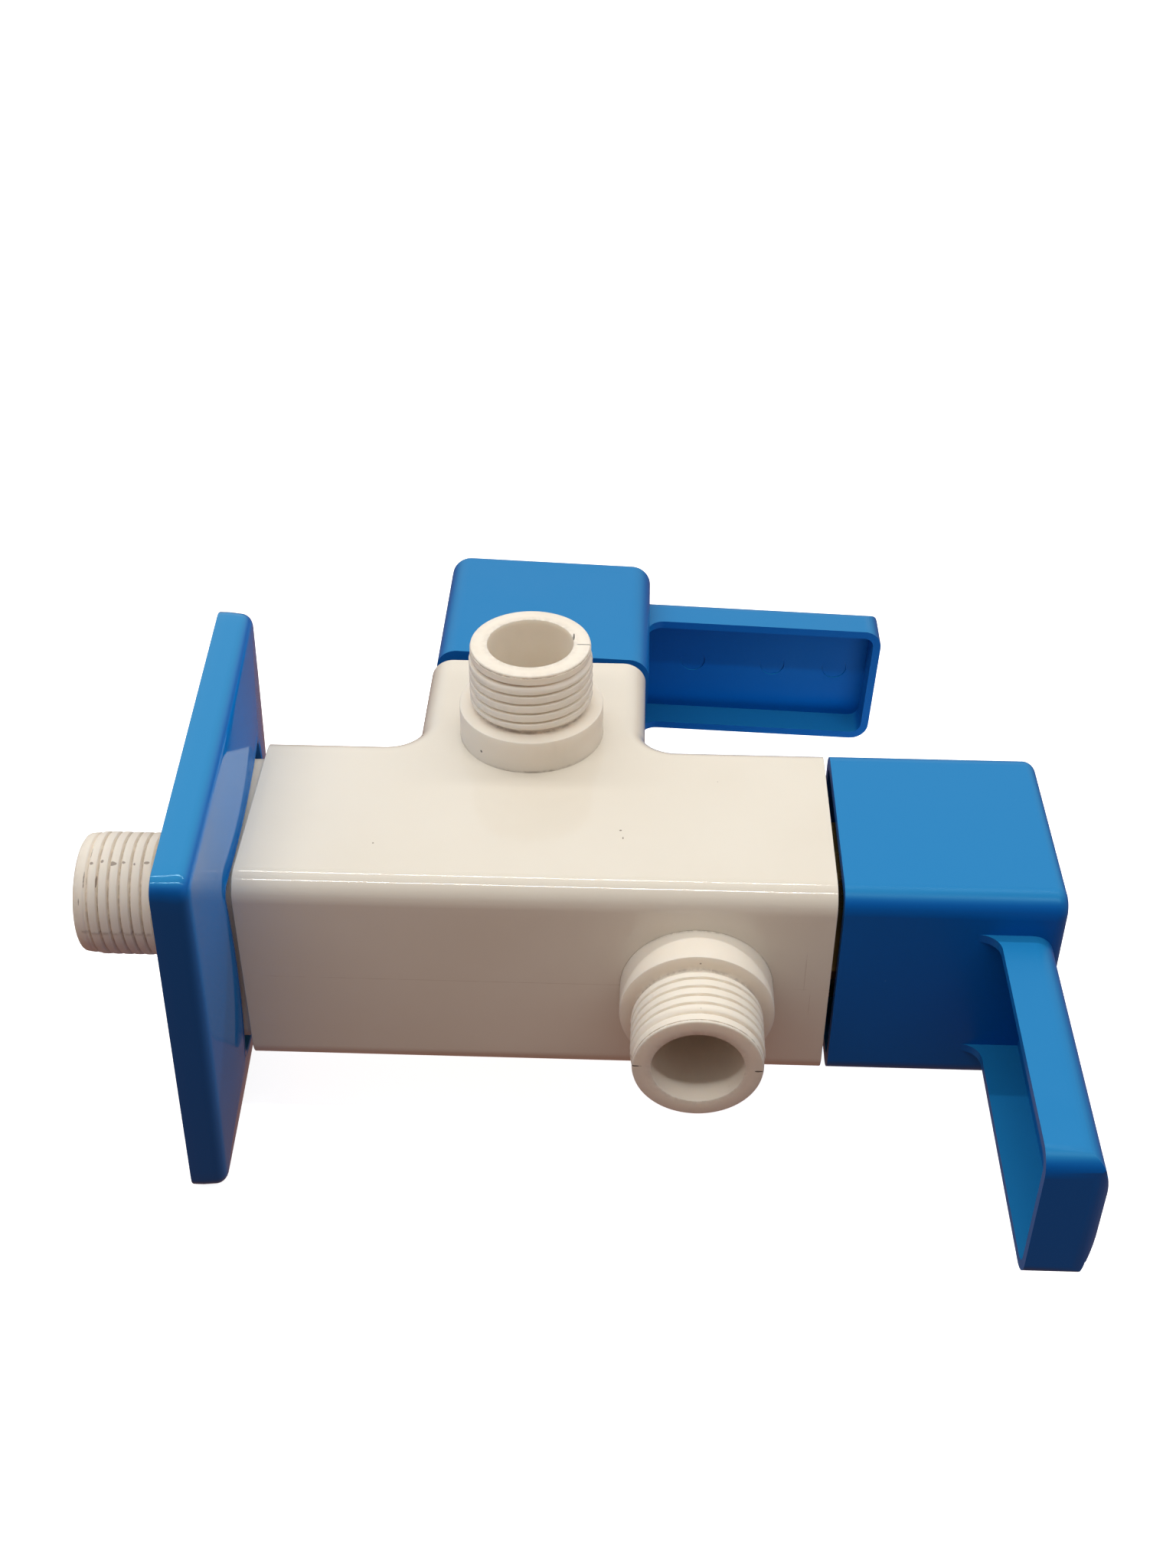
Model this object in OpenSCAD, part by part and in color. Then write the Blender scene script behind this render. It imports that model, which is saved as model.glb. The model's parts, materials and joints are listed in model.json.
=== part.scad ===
// Two-way angle valve for a wall pipe: one inlet, two outlets, two quarter-turn levers.
// Origin: on the inlet axis in the wall plane. +X out of the wall, +Y to the branch, +Z up.

/* [Body] */
// Width and height of the square body
body_w = 39.4; // [36:0.2:48]
// Length of the body's jacket along the inlet axis
body_len = 94.8; // [90:0.2:120]
// Distance from the wall plane to the jacket
body_start = 9.8; // [9.4:0.1:14]
// Rounding of the body's long edges
edge_r = 4.2; // [2:0.1:5]
// Thickness of the glossy jacket over the core
jacket_t = 1.6; // [1:0.1:2.5]

/* [Branch] */
// Distance from the wall plane to the middle of the branch
branch_x = 54.6; // [50:0.2:62]
// Width of the branch
branch_w = 39.2; // [36:0.2:44]
// Distance from the inlet axis to the end of the branch
branch_reach = 44.1; // [43:0.1:54]
// Radius of the inside corners between the branch and the body
branch_fillet = 5.5; // [3:0.1:8]

/* [Neck and nipple] */
// Where the square neck ends behind the flange
neck_start = 2; // [1:0.1:3]
// Corner radius of the neck and core
neck_r = 5; // [3:0.1:6]
// Distance that the nipple stands behind the wall plane
nipple_len = 20.1; // [14:0.1:30]
// Bore of the inlet
inlet_bore_d = 14.4; // [10:0.1:15]
// Plain lead at the nipple's end
nipple_lead = 1.4; // [1:0.1:3]

/* [Thread] */
// Outside diameter of the half-inch pipe thread
thread_d = 20.955; // [20.955:0.001:20.955]
// Pitch of the thread
thread_pitch = 1.814; // [1.814:0.001:1.814]
// Depth of the thread
thread_depth = 1.162; // [0.9:0.001:1.2]
// Width of the flat on each crest
crest_flat = 0.36; // [0.2:0.01:0.5]

/* [Outlets] */
// Distance from an outlet's axis to the end of its station
station_reach = 21.35; // [21:0.05:25]
// Diameter of the plain collar under the thread
collar_d = 24.6; // [23:0.1:27]
// Height of the collar above the jacket
collar_h = 6.1; // [4:0.1:10]
// Height of the threaded part above the collar
outlet_thread_h = 11.85; // [11.5:0.05:20]
// Plain lead at the outlet's mouth
outlet_lead = 2; // [1:0.1:3]
// Bore of the outlet
outlet_bore_d = 14.45; // [10:0.05:15]
// Crests on each outlet
outlet_crests = 5; // [4:1:5]

/* [Wall flange] */
// Width of the square flange
flange_w = 70.6; // [62:0.2:90]
// Thickness at the flange's edge
flange_t = 5.8; // [5:0.1:7]
// Height of the crown in the middle of the flange
flange_crown = 2.8; // [1:0.1:2.9]
// Wall of the flange
flange_wall = 2; // [1.5:0.1:2.5]
// Rounding of the flange's front edge
flange_edge_r = 2; // [1:0.1:2.4]
// Corner radius of the flange
flange_corner_r = 3; // [1:0.1:6]
// Least clearance between the turned flange and the neck's corners
flange_clear = 0.31; // [0.31:0.01:0.5]
// Turn of the loose flange about the inlet axis, in degrees
flange_turn = 2.9; // [0:0.1:3]
// Lean of the loose flange about the Y axis, in degrees
flange_lean_y = 2.5; // [0:0.1:2.5]
// Lean of the loose flange about the Z axis, in degrees
flange_lean_z = 2.1; // [0:0.1:2.1]

/* [Handles] */
// Width of a handle's square cap
cap_w = 39.2; // [36:0.2:44]
// Length of a handle's cap
cap_len = 34.9; // [33:0.05:42]
// Gap between the body and a cap
cap_gap = 1.05; // [0.6:0.05:2]
// Rounding of a cap's long edges
cap_edge_r = 3.8; // [2.6:0.1:5]
// Wall of a cap
cap_wall = 2.2; // [1.6:0.1:3]
// Distance from the handle's axis to the tip of its lever
lever_reach = 65.6; // [55:0.2:80]
// Width of a lever
lever_w = 25.6; // [20:0.2:32]
// Distance from a cap's end to the open edge of its lever
lever_depth = 10.4; // [7:0.05:12]
// Distance from a cap's end down to a lever's long outer edges
lever_inset = 2.8; // [1.5:0.1:3]
// Crown of a lever's outer face
lever_crown = 2.6; // [1:0.1:2.7]
// Wall of a lever's sides
lever_wall = 1.5; // [1.2:0.1:2.5]
// Thickness of a lever's outer plate at its long edges
lever_plate = 1.4; // [1:0.1:3]
// Fillet where a lever's sides meet the cap
lever_root_r = 3.25; // [2:0.05:5]
// Rounding of the corners at a lever's tip
lever_tip_r = 3.5; // [2:0.1:8]
// Rounding of a lever's outer edges
lever_edge_r = 3.6; // [2:0.1:4]
// Rounding of the edges at a cap's end
outer_edge_r = 2.2; // [1:0.1:2.5]
// How much further out the rear handle sits on its spline
rear_lift = 1.15; // [0:0.05:1.5]
// Rest angle of the end spindle from its outlet, in degrees: open
end_angle = 0; // [0:90:90]
// Rest angle of the rear lever from its outlet, in degrees: closed, just past square
rear_angle = 92.2; // [90:0.1:92.5]
// How far the stops let a lever run past its quarter turn, in degrees
stop_play = 2.5; // [0.5:0.1:4]

/* [Cartridge] */
// Diameter of the core's bore round a bonnet's skirt
chamber_d = 20; // [19:0.1:22]
// Distance from the outlet's axis down to the seat
seat_depth = 8.5; // [8:0.1:9]
// Bore under the seat
seat_bore_d = 12; // [10:0.1:13]
// Diameter of the bonnet's screwed part
bonnet_thread_d = 24; // [23:0.1:26]
// Where the bonnet's screwed part starts above the outlet's axis
bonnet_step = 9.6; // [9:0.1:11]
// Hexagon of the bonnet, across flats
bonnet_hex = 26; // [25:0.1:28]
// Thickness of the bonnet's hexagon
bonnet_hex_h = 5; // [3:0.1:6]
// Length of the bonnet's neck above the hexagon
bonnet_neck_h = 6.6; // [5:0.1:8]
// Diameter of the bonnet's neck
bonnet_neck_d = 15; // [15:0.1:18]
// Bore of the bonnet's skirt, round the discs
disc_bore_d = 16.2; // [15.6:0.1:17]
// Diameter of the spindle
spindle_d = 8; // [7:0.1:9]
// Radial running clearance of the spindle in the bonnet
running_clear = 0.05; // [0.02:0.01:0.1]
// Clearance between pieces that seat on each other
seat_clear = 0.03; // [0.02:0.01:0.1]
// Thickness of the seat seal
seal_h = 2.5; // [2:0.1:3]
// Thickness of a ceramic disc
disc_h = 3; // [2.5:0.1:3.5]
// Thickness of the spindle's driver
driver_h = 3.2; // [2.5:0.1:4]
// Thickness of the thrust washer
washer_h = 0.9; // [0.6:0.1:1.2]
// Teeth on the spline
spline_teeth = 20; // [12:1:24]
// Depth of the spline's teeth
spline_depth = 0.5; // [0.3:0.05:0.6]
// Length of the spline
spline_len = 12.5; // [10:0.1:14]
// Thread diameter of the handle screw
screw_d = 4; // [3:0.1:5]
// Diameter of the handle screw's head
screw_head_d = 7.6; // [6:0.1:8.5]
// Diameter of the index cover
cover_d = 12.6; // [11:0.1:16]

/* [Hidden] */
$fn = 96;
eps = 0.01;
flange_pivot = (neck_start + flange_t) / 2;

body_end = body_start + body_len;
core_w = body_w - 2 * jacket_t;
core_branch_w = branch_w - 2 * jacket_t;
thread_root_d = thread_d - 2 * thread_depth;
outlet_rim = body_w / 2 + collar_h + outlet_thread_h;
nipple_crests = floor((nipple_len + neck_start - nipple_lead) / thread_pitch);
turned_flat = (core_w / 2 - neck_r) * (cos(flange_turn) + sin(flange_turn));
flange_hole_w = 2 * (turned_flat + neck_r + flange_clear);
flange_tube_r = neck_r - 1;
flange_hole_r = neck_r - 3;
end_outlet_x = body_end - station_reach;
rear_outlet_y = branch_reach - station_reach;

// Heights in a station, measured outwards from its outlet's axis
seal_top = seal_h - seat_depth;
fixed_top = seal_top + disc_h;
moving_top = fixed_top + seat_clear + disc_h;
driver_top = moving_top + seat_clear + driver_h;
washer_top = driver_top + washer_h;
bonnet_shoulder = washer_top + seat_clear;
hex_top = station_reach + bonnet_hex_h;
bonnet_top = hex_top + bonnet_neck_h;
circlip_h = 1;
circlip_start = bonnet_top + 0.1;
stop_start = circlip_start + circlip_h + 0.5;
stop_h = 2;
hub_start = stop_start + stop_h + 0.6;
spline_start = stop_start - 0.3;
spline_end = spline_start + spline_len;
cap_start = station_reach + cap_gap;
cap_end = cap_start + cap_len;
web_h = 2;
web_start = spline_end + 1;
cover_h = 1.2;
head_h = 2.6;

// Plain leads of the threads
lead_step = 0.35;
lead_chamfer = 0.5;
flank_ease = 0.15;

// Lengths of the narrow bore under a seat and of the wall between inlet bore and end seat
seat_bore_len = 8;
seat_wall = 6;

// Grooves, rings and small fits
ring_d = 1.8;
spindle_ring_d = 1.5;
spindle_ring_step = 5;
bonnet_ring_at = station_reach - 1.3;
groove_play = 0.2;
circlip_d = 10.6;
circlip_groove_d = 6.4;
circlip_gap = 3.2;
hub_d = 13.5;
rib_t = 1.6;
disc_play = 0.6;
washer_play = 1;
lug_clear = 0.8;
window_half_angle = 40;
port_half_angle = 35;
window_inner_r = 2.6;
window_outer_r = 6.4;
slot_w = 4;
slot_len = 11;
slot_depth = 1.5;
post_angle = 30;
stop_r = bonnet_neck_d / 2 - 0.3;
lug_angle = 30;
post_h = stop_start + stop_h - bonnet_top - 0.7;

// Handle screw, its hole and the spline's teeth
screw_hole_depth = 10;
shank_depth = 9;
screw_clear = 0.4;
head_room = 1;
cross_len = 4.8;
cross_w = 1;
cross_depth = 1.4;
stem_h = 1.5;
spline_ease = 0.1;
tooth_points = [[0, 0], [0.22, 0], [0.4, 1], [0.82, 1]];

// Edges and middle of a lever's outer face, and the floor of its tray
lever_edge = cap_end - lever_inset;
lever_top = lever_edge + lever_crown;
tray_floor = lever_edge - lever_plate;

// ---- Placing -------------------------------------------------------------------------
// A station's own frame: Z outwards along its spindle, X along its outlet.
module at_end() {
    translate([end_outlet_x, 0, 0]) rotate([-90, 0, 0]) rotate([0, 90, 0]) children();
}

module at_rear() {
    translate([branch_x, rear_outlet_y, 0]) rotate([-90, 0, 0]) rotate([0, 0, -90]) children();
}

module at_end_turned() {
    at_end() rotate([0, 0, end_angle]) children();
}

module at_rear_turned() {
    at_rear() rotate([0, 0, rear_angle]) children();
}

// The rear handle and what is fixed in it
module at_rear_handle() {
    at_rear_turned() translate([0, 0, rear_lift]) children();
}

// ---- Shared shapes -------------------------------------------------------------------
module rounded_square(w, h, r) {
    union() {
        square([w - 2 * r, h], center = true);
        square([w, h - 2 * r], center = true);
        for (sx = [-1, 1], sy = [-1, 1])
            translate([sx * (w / 2 - r), sy * (h / 2 - r)]) circle(r);
    }
}

// Square bar along X with rounded long edges
module bar_x(x0, x1, w, h, r) {
    translate([x0, 0, 0]) rotate([90, 0, 90]) linear_extrude(x1 - x0) rounded_square(w, h, r);
}

// The inside corner between the bar and its branch, with the same rounded rim
module inside_corner(side, w, branch, h, r, fillet) {
    x1 = branch_x + side * branch / 2;
    depth = r + 1;
    span = fillet + depth;
    intersection() {
        translate([x1 + side * fillet, w / 2 + fillet, 0]) rotate_extrude()
            intersection() {
                translate([fillet + 2 * span, 0]) rounded_square(4 * span, h, r);
                translate([fillet, -h / 2]) square([2 * span, h]);
            }
        translate([side > 0 ? x1 - depth : x1 - fillet, w / 2 - depth, -h / 2])
            cube([span, span, h]);
    }
}

// The T-shaped block of the body
module t_block(x0, x1, w, branch, h, r, reach, fillet) {
    union() {
        bar_x(x0, x1, w, h, r);
        translate([branch_x, 0, 0]) rotate([-90, 0, 0]) linear_extrude(reach) rounded_square(branch, h, r);
        for (side = [-1, 1]) inside_corner(side, w, branch, h, r, fillet);
    }
}

// Thread as rings of its true profile, rising from z = 0
module thread_rings(count) {
    root = thread_root_d / 2;
    crest = thread_d / 2;
    flank = (thread_pitch - crest_flat) / 2 - flank_ease;
    rotate_extrude()
        union() {
            square([root, count * thread_pitch]);
            for (i = [0 : count - 1])
                translate([0, (i + 0.5) * thread_pitch])
                    polygon([
                        [root - 1, -crest_flat / 2 - flank], [root, -crest_flat / 2 - flank],
                        [crest, -crest_flat / 2], [crest, crest_flat / 2],
                        [root, crest_flat / 2 + flank], [root - 1, crest_flat / 2 + flank]
                    ]);
        }
}

// Plain end a little under the thread's crests, with a chamfer
module thread_lead(h) {
    r = thread_d / 2 - lead_step;
    cylinder(h = h - lead_chamfer, r = r);
    translate([0, 0, h - lead_chamfer]) cylinder(h = lead_chamfer, r1 = r, r2 = r - lead_chamfer);
}

// Slice of a cylinder, to both sides of the X axis, for windows and stops
module sector(r, half_angle, h) {
    far = 2 * r;
    linear_extrude(h) intersection() {
        circle(r);
        polygon([[0, 0], [far * cos(half_angle), -far * sin(half_angle)], [far, 0],
                 [far * cos(half_angle), far * sin(half_angle)]]);
    }
}

module ring(outer_d, inner_d, h) {
    difference() {
        cylinder(h = h, d = outer_d);
        translate([0, 0, -1]) cylinder(h = h + 2, d = inner_d);
    }
}

module o_ring(middle_r, section_d) {
    rotate_extrude() translate([middle_r, 0]) circle(d = section_d);
}

// Toothed outline of the spline; grow widens it for the mating bore
module spline_outline(grow) {
    root = spindle_d / 2 - spline_ease + grow - spline_depth;
    step = 360 / spline_teeth;
    polygon([for (i = [0 : spline_teeth - 1], k = tooth_points)
        let (a = (i + k[0]) * step) (root + k[1] * spline_depth) * [cos(a), sin(a)]]);
}

// ---- Core, jacket and flange ---------------------------------------------------------
// One outlet's collar and thread, along X of its station
module outlet_outside() {
    base = core_w / 2 - 1;
    collar_top = body_w / 2 + collar_h;
    relief = outlet_thread_h - outlet_lead - outlet_crests * thread_pitch;
    rotate([0, 90, 0]) {
        translate([0, 0, base]) cylinder(h = collar_top - base, d = collar_d);
        translate([0, 0, collar_top - eps]) cylinder(h = relief + 2 * eps, d = thread_root_d);
        translate([0, 0, collar_top + relief]) thread_rings(outlet_crests);
        translate([0, 0, outlet_rim - outlet_lead]) thread_lead(outlet_lead);
    }
}

// The room inside one station: seat, chamber, screwed socket and outlet
module station_room() {
    translate([0, 0, -seat_depth - seat_bore_len])
        cylinder(h = seat_depth + seat_bore_len + 1, d = seat_bore_d);
    translate([0, 0, -seat_depth]) cylinder(h = station_reach + seat_depth + 1, d = chamber_d);
    translate([0, 0, bonnet_step]) cylinder(h = station_reach, d = bonnet_thread_d);
    rotate([0, 90, 0]) cylinder(h = outlet_rim + 1, d = outlet_bore_d);
}

module valve_core() {
    color("#d8cfc2") difference() {
        union() {
            t_block(neck_start, body_end, core_w, core_branch_w, core_w, neck_r, branch_reach,
                    branch_fillet + jacket_t);
            translate([neck_start + 1, 0, 0]) rotate([0, -90, 0])
                cylinder(h = 1 + neck_start + nipple_len - nipple_lead, d = thread_root_d);
            translate([neck_start, 0, 0]) rotate([0, -90, 0]) thread_rings(nipple_crests);
            translate([nipple_lead - nipple_len, 0, 0]) rotate([0, -90, 0]) thread_lead(nipple_lead);
            at_end() outlet_outside();
            at_rear() outlet_outside();
        }
        translate([-nipple_len - 1, 0, 0]) rotate([0, 90, 0])
            cylinder(h = nipple_len + 1 + end_outlet_x - seat_depth - seat_wall, d = inlet_bore_d);
        at_end() station_room();
        at_rear() station_room();
    }
}

module body_jacket() {
    color("#ece4d8") difference() {
        t_block(body_start, body_end, body_w, branch_w, body_w, edge_r, branch_reach, branch_fillet);
        t_block(body_start - 1, body_end + 1, core_w, core_branch_w, core_w, neck_r, branch_reach + 1,
                branch_fillet + jacket_t);
        at_end() rotate([0, 90, 0]) cylinder(h = body_w, d = collar_d);
        at_rear() rotate([0, 90, 0]) cylinder(h = body_w, d = collar_d);
    }
}

// Half of the flange's side view: flat back, straight edge, rounded rim and shallow crown
module flange_profile(half, wall, rim_r) {
    top = flange_t + flange_crown - wall;
    rise = flange_crown * pow(half / (flange_w / 2), 2);
    crown_r = (half * half + rise * rise) / (2 * rise);
    rim_z = half - rim_r;
    reach = crown_r - rim_r;
    rim_x = top - crown_r + sqrt(reach * reach - rim_z * rim_z);
    tangent_z = rim_z * crown_r / reach;
    union() {
        translate([-1, -half]) square([1 + rim_x, 2 * half]);
        for (s = [-1, 1]) translate([rim_x, s * rim_z]) circle(rim_r);
        intersection() {
            translate([top - crown_r, 0]) circle(crown_r, $fn = 720);
            translate([-1, -tangent_z]) square([1 + flange_t + flange_crown, 2 * tangent_z]);
        }
    }
}

// The profile swept across Y and across Z, and cut to one square with both
module flange_solid(half, wall, rim_r, corner_r, back) {
    intersection() {
        translate([back, 0, 0]) rotate([90, 0, 90])
            linear_extrude(flange_t + flange_crown + 2) rounded_square(2 * half, 2 * half, corner_r);
        rotate([90, 0, 0]) linear_extrude(2 * half + 2, center = true) flange_profile(half, wall, rim_r);
        linear_extrude(2 * half + 2, center = true) flange_profile(half, wall, rim_r);
    }
}

module wall_flange() {
    half = flange_w / 2;
    inner = half - flange_wall;
    tube_w = flange_hole_w + 2 * flange_wall;
    color("#2f7fc4") leaning() difference() {
        flange_solid(half, 0, flange_edge_r, flange_corner_r, 0);
        difference() {
            flange_solid(inner, flange_wall, flange_edge_r / 2, flange_corner_r / 2, -1);
            bar_x(neck_start, flange_t + flange_crown, tube_w, tube_w, flange_tube_r);
        }
        bar_x(-1, flange_t + flange_crown + 1, flange_hole_w, flange_hole_w, flange_hole_r);
    }
}

// The loose flange rests turned and leaning, about a point half way along its hole
module leaning() {
    translate([flange_pivot, 0, 0])
        rotate([flange_turn, 0, 0]) rotate([0, flange_lean_y, 0]) rotate([0, 0, flange_lean_z])
            translate([-flange_pivot, 0, 0]) children();
}

// ---- Cartridge: what stays still ------------------------------------------------------
module bonnet() {
    skirt_d = chamber_d - 2 * running_clear;
    skirt_start = seal_top - seal_h / 2;
    screwed_d = bonnet_thread_d - 2 * seat_clear;
    groove_d = bonnet_thread_d - 2 * ring_d;
    color("#b98f4a") difference() {
        union() {
            translate([0, 0, skirt_start]) cylinder(h = bonnet_step - skirt_start + 1, d = skirt_d);
            translate([0, 0, bonnet_step + seat_clear])
                cylinder(h = station_reach - bonnet_step - seat_clear + 1, d = screwed_d);
            translate([0, 0, station_reach])
                cylinder(h = bonnet_hex_h, d = bonnet_hex / cos(30), $fn = 6);
            translate([0, 0, hex_top - 1]) cylinder(h = bonnet_neck_h + 1, d = bonnet_neck_d);
            for (a = [180 - lug_angle / 2 - stop_play - post_angle / 2,
                      270 + lug_angle / 2 + stop_play + post_angle / 2])
                rotate([0, 0, a]) stop_post();
        }
        translate([0, 0, skirt_start - 1]) cylinder(h = bonnet_shoulder - skirt_start + 1, d = disc_bore_d);
        cylinder(h = bonnet_top + 1, d = spindle_d + 2 * running_clear);
        translate([0, 0, fixed_top])
            for (side = [0, 180]) rotate([0, 0, side])
                sector(chamber_d, port_half_angle, driver_top - fixed_top);
        translate([0, 0, bonnet_ring_at - ring_d / 2 - groove_play / 2])
            ring(bonnet_thread_d + 2, groove_d, ring_d + groove_play);
    }
}

module stop_post() {
    translate([0, 0, bonnet_top - 1]) difference() {
        sector(stop_r, post_angle / 2, post_h + 1);
        translate([0, 0, -1]) cylinder(h = post_h + 3, d = circlip_d + lug_clear);
    }
}

module bonnet_ring() {
    color("#2a2a2a") translate([0, 0, bonnet_ring_at])
        o_ring(bonnet_thread_d / 2 - ring_d / 2 - seat_clear, ring_d - 2 * seat_clear);
}

module seat_seal() {
    color("#303030") translate([0, 0, -seat_depth])
        ring(disc_bore_d - 2 * seat_clear, seat_bore_d, seal_h);
}

module disc_windows(outer_r, h) {
    for (side = [0, 180]) rotate([0, 0, side]) translate([0, 0, -1]) difference() {
        sector(outer_r, window_half_angle, h + 2);
        translate([0, 0, -1]) cylinder(h = h + 4, r = window_inner_r);
    }
}

module fixed_disc() {
    color("#f2f0ea") translate([0, 0, seal_top]) difference() {
        cylinder(h = disc_h, d = disc_bore_d - 2 * seat_clear);
        disc_windows(window_outer_r, disc_h);
    }
}

// ---- Cartridge: what turns ------------------------------------------------------------
module moving_disc() {
    color("#e6e2d8") translate([0, 0, fixed_top + seat_clear]) difference() {
        cylinder(h = disc_h, d = disc_bore_d - disc_play);
        disc_windows(disc_bore_d, disc_h);
        translate([-slot_w / 2, -slot_len / 2, disc_h - slot_depth]) cube([slot_w, slot_len, slot_depth + 1]);
    }
}

module spindle() {
    groove_w = spindle_ring_d + groove_play;
    color("#c9a35c") difference() {
        union() {
            translate([0, 0, moving_top + seat_clear]) difference() {
                cylinder(h = driver_h - seat_clear, d = disc_bore_d - disc_play);
                disc_windows(disc_bore_d, driver_h);
            }
            translate([seat_clear - slot_w / 2, seat_clear - slot_len / 2, moving_top - slot_depth + seat_clear])
                cube([slot_w - 2 * seat_clear, slot_len - 2 * seat_clear, slot_depth + 1]);
            translate([0, 0, moving_top + 1]) cylinder(h = spline_start - moving_top - 1, d = spindle_d);
            translate([0, 0, spline_start]) linear_extrude(spline_len) spline_outline(0);
        }
        for (i = [1, 2])
            translate([0, 0, bonnet_shoulder + i * spindle_ring_step - groove_w / 2])
                ring(spindle_d + 2, spindle_d - 2 * spindle_ring_d + 4 * running_clear, groove_w);
        translate([0, 0, circlip_start]) ring(spindle_d + 2, circlip_groove_d, circlip_h + 0.1);
        translate([0, 0, spline_end - screw_hole_depth]) cylinder(h = screw_hole_depth + 1, d = screw_d);
    }
}

module spindle_rings() {
    color("#1f1f1f")
        for (i = [1, 2])
            translate([0, 0, bonnet_shoulder + i * spindle_ring_step])
                o_ring(spindle_d / 2 - spindle_ring_d / 2 + running_clear, spindle_ring_d - 2 * running_clear);
}

module thrust_washer() {
    color("#efe9dc") translate([0, 0, driver_top])
        ring(disc_bore_d - washer_play, spindle_d + 2 * seat_clear, washer_h);
}

module circlip() {
    color("#9a9da0") translate([0, 0, circlip_start + seat_clear]) difference() {
        ring(circlip_d, circlip_groove_d + 2 * seat_clear, circlip_h);
        translate([0, -circlip_gap / 2, -1]) cube([circlip_d, circlip_gap, circlip_h + 2]);
    }
}

module stop_ring() {
    lug_drop = stop_start - circlip_start;
    color("#b4b7ba") translate([0, 0, stop_start]) difference() {
        union() {
            cylinder(h = stop_h, d = circlip_d);
            rotate([0, 0, 180]) translate([0, 0, -lug_drop]) difference() {
                sector(stop_r, lug_angle / 2, lug_drop + stop_h);
                translate([0, 0, -1]) cylinder(h = lug_drop + 1, d = circlip_d + lug_clear);
            }
        }
        translate([0, 0, -1]) linear_extrude(stop_h + 2) spline_outline(seat_clear);
    }
}

module handle_screw() {
    shank_start = spline_end - shank_depth;
    color("#c8ccd0") difference() {
        union() {
            translate([0, 0, shank_start])
                cylinder(h = web_start + web_h - shank_start, d = screw_d - 2 * seat_clear);
            translate([0, 0, web_start + web_h]) cylinder(h = head_h, d = screw_head_d);
        }
        translate([0, 0, web_start + web_h + head_h - cross_depth])
            for (turn = [0, 90]) rotate([0, 0, turn])
                translate([-cross_len / 2, -cross_w / 2, 0]) cube([cross_len, cross_w, cross_depth + 1]);
    }
}

module index_cover() {
    stem_d = screw_head_d + head_room;
    color("#2c74b8") union() {
        translate([0, 0, cap_end - cover_h]) cylinder(h = cover_h, d = cover_d - 2 * seat_clear);
        translate([0, 0, cap_end - cover_h - stem_h]) ring(stem_d, stem_d - 2, stem_h + eps);
    }
}

// ---- Handle ---------------------------------------------------------------------------
// Side view of a lever's outside, from its axis to its tip
module lever_side_outline() {
    open_edge = cap_end - lever_depth;
    root_x = cap_w / 2;
    difference() {
        union() {
            translate([0, open_edge]) square([lever_reach - lever_edge_r, lever_top - open_edge]);
            translate([0, open_edge]) square([lever_reach, lever_top - open_edge - lever_edge_r]);
            translate([lever_reach - lever_edge_r, lever_top - lever_edge_r]) circle(lever_edge_r);
            translate([0, open_edge - lever_root_r])
                square([root_x + lever_root_r, lever_root_r + 1]);
        }
        translate([root_x + lever_root_r, open_edge - lever_root_r]) circle(lever_root_r);
    }
}

// Plan of a lever from start to reach, with rounded corners at its tip
module lever_plan(start, reach, w, r) {
    union() {
        translate([start, -w / 2]) square([reach - r - start, w]);
        translate([start, r - w / 2]) square([reach - start, w - 2 * r]);
        for (s = [-1, 1]) translate([reach - r, s * (w / 2 - r)]) circle(r);
    }
}

// Section across a lever: flat sides, rolled edges and a crowned outer face
module lever_section() {
    side = lever_w / 2;
    crown_r = (side * side + lever_crown * lever_crown) / (2 * lever_crown);
    roll_y = side - lever_edge_r;
    roll_z = lever_top - crown_r + sqrt(pow(crown_r - lever_edge_r, 2) - roll_y * roll_y);
    union() {
        translate([-side, 0]) square([lever_w, roll_z]);
        for (s = [-1, 1]) translate([s * roll_y, roll_z]) circle(lever_edge_r);
        intersection() {
            translate([0, lever_top - crown_r]) circle(crown_r, $fn = 720);
            translate([-roll_y, 0]) square([2 * roll_y, cap_end]);
        }
    }
}

module lever_outside() {
    intersection() {
        linear_extrude(cap_end + 1) lever_plan(0, lever_reach, lever_w, lever_tip_r);
        rotate([90, 0, 0]) linear_extrude(lever_w + 2, center = true) lever_side_outline();
        rotate([90, 0, 90]) linear_extrude(lever_reach + 1) lever_section();
    }
}

module lever_hollow() {
    start = cap_end - lever_depth - 2 * lever_root_r;
    translate([0, 0, start]) linear_extrude(tray_floor - start)
        lever_plan(cap_w / 2, lever_reach - lever_wall, lever_w - 2 * lever_wall, lever_tip_r - lever_wall);
}

// Square block along Z with rounded long edges, its top edge rolled all round
module rolled_block(w, r, edge, z0, z1) {
    union() {
        for (a = [0, 90]) rotate([90, 0, a]) linear_extrude(w - 2 * r, center = true) union() {
            translate([-w / 2, z0]) square([w, z1 - z0 - edge]);
            translate([edge - w / 2, z0]) square([w - 2 * edge, z1 - z0]);
            for (s = [-1, 1]) translate([s * (w / 2 - edge), z1 - edge]) circle(edge);
        }
        for (sx = [-1, 1], sy = [-1, 1]) translate([sx * (w / 2 - r), sy * (w / 2 - r), 0])
            rotate_extrude() intersection() {
                union() {
                    translate([0, z0]) square([r, z1 - z0 - edge]);
                    translate([0, z0]) square([r - edge, z1 - z0]);
                    translate([r - edge, z1 - edge]) circle(edge);
                }
                translate([0, z0]) square([r, z1 - z0]);
            }
    }
}

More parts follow.
